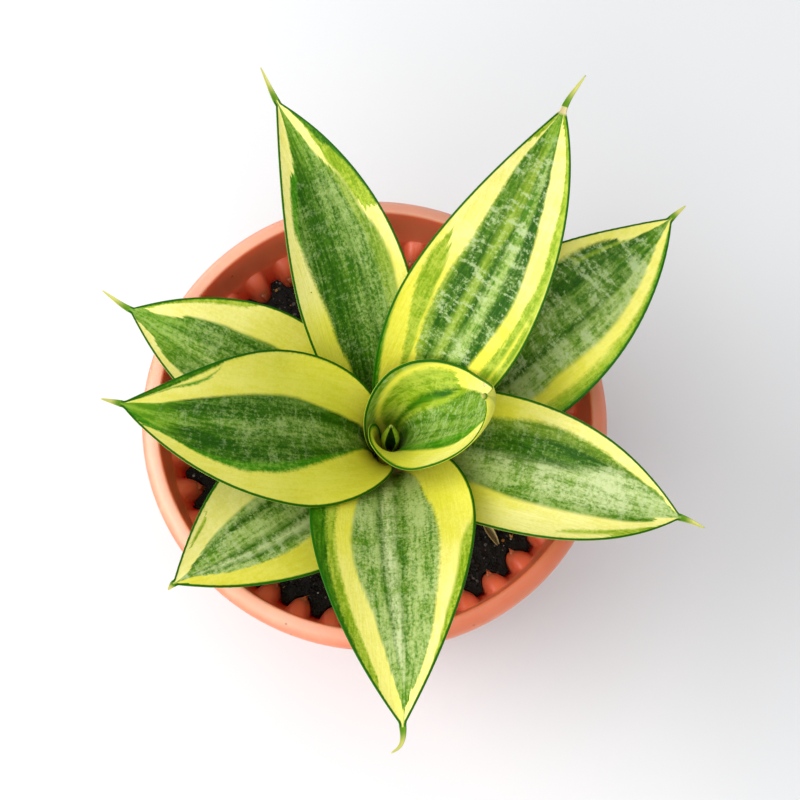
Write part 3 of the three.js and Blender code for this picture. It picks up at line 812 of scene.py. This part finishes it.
def makeSoil(p):
    # rings from the stem's hole out to the ribbed wall, then down the side to the flat bottom
    n = p["columns"]
    angle = np.arange(n) * 2 * math.pi / n
    circle = np.stack([np.cos(angle), np.sin(angle)], -1)
    hole = [crown["x"], crown["y"]] + p["stemRadius"] * circle
    sides = []
    for z in p["sideRows"]:
        wall = np.minimum(ribFront(angle, np.full(n, z), potShape, p["gap"]), p["edge"])
        sides.append(np.dstack([wall[None, :, None] * circle, np.full((1, n, 1), z)]))
    s = np.linspace(0, 1, p["rings"])[:, None, None]
    ground = hole * (1 - s) + sides[0][0, :, :2] * s
    top = np.dstack([ground, soilHeight(ground[..., 0], ground[..., 1], p)])
    deep = np.dstack([hole[None], np.full((1, n, 1), p["holeBottom"])])
    low = np.dstack([p["lowRadius"] * circle[None], np.full((1, n, 1), p["low"])])
    rings = np.concatenate([deep, top, *sides[1:], low], 0)
    rows = len(rings)
    centres = [[crown["x"], crown["y"], p["holeBottom"]], [0, 0, p["low"]]]
    points = np.vstack([rings.reshape(-1, 3), centres])
    ring = np.arange(n)
    faces = [gridQuads(rows, n), fan(ring, rows * n, True), fan(ring + (rows - 1) * n, rows * n + 1)]
    addPiece("soil_bed", points, faces, soilFinish("soil_finish", p, False), "soil")


def makeGrains(p):
    # Twelve-cornered crumbs scattered evenly by area: the distance from the axis is the root of a draw. Each
    # is stretched, turned and half sunk, all as one array.
    golden = (1 + 5 ** 0.5) / 2
    corners = np.array([(-1, golden, 0), (1, golden, 0), (-1, -golden, 0), (1, -golden, 0), (0, -1, golden),
                        (0, 1, golden), (0, -1, -golden), (0, 1, -golden), (golden, 0, -1), (golden, 0, 1),
                        (-golden, 0, -1), (-golden, 0, 1)]) / math.hypot(1, golden)
    sides = np.array([(0, 11, 5), (0, 5, 1), (0, 1, 7), (0, 7, 10), (0, 10, 11), (1, 5, 9), (5, 11, 4),
                      (11, 10, 2), (10, 7, 6), (7, 1, 8), (3, 9, 4), (3, 4, 2), (3, 2, 6), (3, 6, 8),
                      (3, 8, 9), (4, 9, 5), (2, 4, 11), (6, 2, 10), (8, 6, 7), (9, 8, 1)])
    draw = np.random.default_rng(p["seed"])
    tries = p["grains"] * 2
    radius = p["spread"] * np.sqrt(draw.random(tries))
    angle = draw.random(tries) * 2 * math.pi
    size = p["smallest"] + (p["largest"] - p["smallest"]) * draw.random(tries) ** 2.5
    x, y = radius * np.cos(angle), radius * np.sin(angle)
    room = ribFront(angle, np.full(tries, p["top"] + 0.5), potShape, 0.2) - radius > size * 1.3
    clear = np.hypot(x - crown["x"], y - crown["y"]) > p["stemRadius"] + 0.4 + size
    keep = np.flatnonzero(room & clear)[: p["grains"]]
    x, y, size = x[keep], y[keep], size[keep]
    n = len(keep)
    stretch = 0.6 + 0.8 * draw.random((n, 1, 3))
    ragged = 0.8 + 0.4 * draw.random((n, 12, 1))
    spin = draw.random(n) * 2 * math.pi
    crumb = corners * stretch * ragged * size[:, None, None] * [1, 1, 0.8]
    spots = np.stack([x, y, soilHeight(x, y, p) + size * 0.25], -1)
    points = (spun(crumb, spin[:, None]) + spots[:, None]).reshape(-1, 3)
    faces = (sides[None] + 12 * np.arange(n)[:, None, None]).reshape(-1, 3)
    kind = np.repeat(np.where(size < 0.75, draw.random(n), 0.5), 12)
    shade = np.repeat(draw.random(n), 12)
    addPiece("soil_grains", points, [faces], soilFinish("grain_finish", p, True), None,
             {"grainKind": np.stack([kind, shade, 0 * kind], -1)})


makeSoil(soilSettings)
makeGrains(soilSettings)

# Husk and stem

huskSettings = {
    "length": 8.6, "thick": 0.5, "turn": -52.0, "x": 39.0, "y": -25.9, "z": 91.9, "rows": 24, "across": 15,
    "fibre": (tint(88, 74, 40), tint(196, 176, 122)), "middle": tint(60, 48, 26),
    "margin": tint(206, 188, 130),
}

stemTones = tint(132, 112, 62), tint(186, 172, 110)


def makeHusk(p):
    # a dry scale: a trough whose half width follows a sine bulge along it, curled up at its sides
    s = np.linspace(0, 1, p["rows"])
    half = 0.45 + 0.85 * np.sin(np.pi * s ** 0.8)
    u = np.linspace(-1, 1, p["across"])
    x = np.repeat((s * p["length"])[:, None], p["across"], 1)
    y = half[:, None] * u
    z = 0.55 + 0.9 * half[:, None] * u ** 2 + 0.15 * np.sin(s * 9)[:, None] * u
    face = np.stack([x, y, z], -1)
    ring = np.concatenate([face, (face - [0, 0, p["thick"]])[:, ::-1]], 1)
    turned = spun(ring, math.radians(p["turn"])) + [p["x"], p["y"], p["z"]]
    rows, columns = turned.shape[:2]
    j = np.arange(p["across"] - 1)
    start = np.stack([j, j + 1, columns - 2 - j, columns - 1 - j], -1)
    faces = [gridQuads(rows, columns), start[:, ::-1], start + (rows - 1) * columns]
    place = np.stack([np.repeat(s[:, None], columns, 1),
                      np.repeat(np.concatenate([u, u[::-1]])[None], rows, 0),
                      np.zeros((rows, columns))], -1).reshape(-1, 3)
    m = Finish("husk_finish", Specular_IOR_Level=0.3)
    along, sideways, _ = m.split(m.attribute("huskPlace"))
    fibre = m.noise(m.vector(sideways * 6, along * 2, 3.0))
    colour = m.mix(m.step(fibre, 0.35, 0.65), *p["fibre"])
    colour = m.mix(m.step(abs(sideways), 0.5, 0.9), m.mix(0.55, colour, p["middle"]), p["margin"])
    material = m.surface(colour, 0.6 + fibre * 0.2, m.bump(fibre, 0.0003))
    addPiece("husk_scale", turned.reshape(-1, 3), faces, material, "husk", {"huskPlace": place})


def stemFinish():
    # pale fibrous stub, ringed where old sheaths were
    m = Finish("stem_finish", Specular_IOR_Level=0.3)
    x, y, z = m.place(1 / millimetre)
    rings = m.noise(m.vector(x * 0.06, y * 0.06, z * 0.7))
    colour = m.mix(m.step(rings, 0.35, 0.65), *stemTones)
    return m.surface(colour, 0.6 + rings * 0.25, m.bump(rings, 0.0004))


makeHusk(huskSettings)
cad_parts["stem"].data.materials.clear()
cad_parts["stem"].data.materials.append(stemFinish())
print("stage: husk and stem done")

# Camera, lights and floor

camera = {  # near and far in metres
    "lens": 90.0, "sensor": 36.0, "elevation": 73.595, "roll": 6.386, "target": (7.2145, 7.3286, 110.0),
    "distance": 646.79, "near": 0.05, "far": 20,
}


def placeCamera(p):
    # the eye stands back from the target at the given elevation, and rolls about its own line of sight
    elevation, roll = math.radians(p["elevation"]), math.radians(p["roll"])
    back = Vector((0, -math.cos(elevation), math.sin(elevation)))
    right = Vector((1, 0, 0))
    up = back.cross(right)
    turnedRight = right * math.cos(roll) + up * math.sin(roll)
    turnedUp = up * math.cos(roll) - right * math.sin(roll)
    data = bpy.data.cameras.new("camera")
    data.lens = p["lens"]
    data.sensor_width = p["sensor"]
    data.clip_start, data.clip_end = p["near"], p["far"]
    eye = inScene("camera", data)
    spot = (Vector(p["target"]) + back * p["distance"]) * millimetre
    turned = Matrix((turnedRight, turnedUp, back)).transposed().to_4x4()
    eye.matrix_world = Matrix.Translation(spot) @ turned
    bpy.context.scene.camera = eye


studio = {  # lengths in metres
    "lamps": {  # place, size, watts, colour
        "key": ((-0.95, -0.12, 0.72), 1.0, 12.5, (1.0, 0.99, 0.97)),
        "front": ((-0.35, -1.0, 1.0), 0.9, 6.0, (1.0, 1.0, 1.0)),
        "top": ((-0.15, -0.12, 1.6), 1.2, 7.0, (1.0, 1.0, 1.0)),
    },
    "aim": (0, 0, 0.08), "sky": (0.95, 0.97, 1.0), "skyStrength": 0.5,
    "floorReach": 3.0, "floorHeight": -0.0005, "floorTones": (tint(226, 228, 229), tint(229, 231, 232)),
}


def placeLights(p):
    # round lamps that all face the aim, and an even pale sky
    for name, (place, size, watts, colour) in p["lamps"].items():
        data = bpy.data.lights.new(name, "AREA")
        data.shape = "DISK"
        data.size = size
        data.energy = watts
        data.color = colour
        lamp = inScene(name, data)
        lamp.location = place
        lamp.rotation_mode = "QUATERNION"
        lamp.rotation_quaternion = (Vector(place) - Vector(p["aim"])).to_track_quat("Z", "Y")
    world = bpy.data.worlds.new("studio")
    world.use_nodes = True
    world.node_tree.nodes["Background"].inputs[0].default_value = (*p["sky"], 1)
    world.node_tree.nodes["Background"].inputs[1].default_value = p["skyStrength"]
    bpy.context.scene.world = world
    bpy.context.scene.view_settings.view_transform = "Standard"


def placeFloor(p):
    # one large square just under the pot's foot
    reach, z = p["floorReach"], p["floorHeight"]
    mesh = bpy.data.meshes.new("floor")
    corners = [(-reach, -reach, z), (reach, -reach, z), (reach, reach, z), (-reach, reach, z)]
    mesh.from_pydata(corners, [], [(0, 1, 2, 3)])
    m = Finish("floor_finish", Specular_IOR_Level=0.2)
    x, y, _ = m.place(3.0)
    slow = m.noise(m.vector(x, y, 0.0), 2.0, 0.5)
    colour = m.mix(slow, *p["floorTones"])
    mesh.materials.append(m.surface(colour, 0.8 + slow * 0.1, m.bump(slow, 0.0001, 0.1)))
    floor = inScene("floor", mesh)


placeCamera(camera)
placeLights(studio)
placeFloor(studio)
print("stage: camera, lights and floor done")
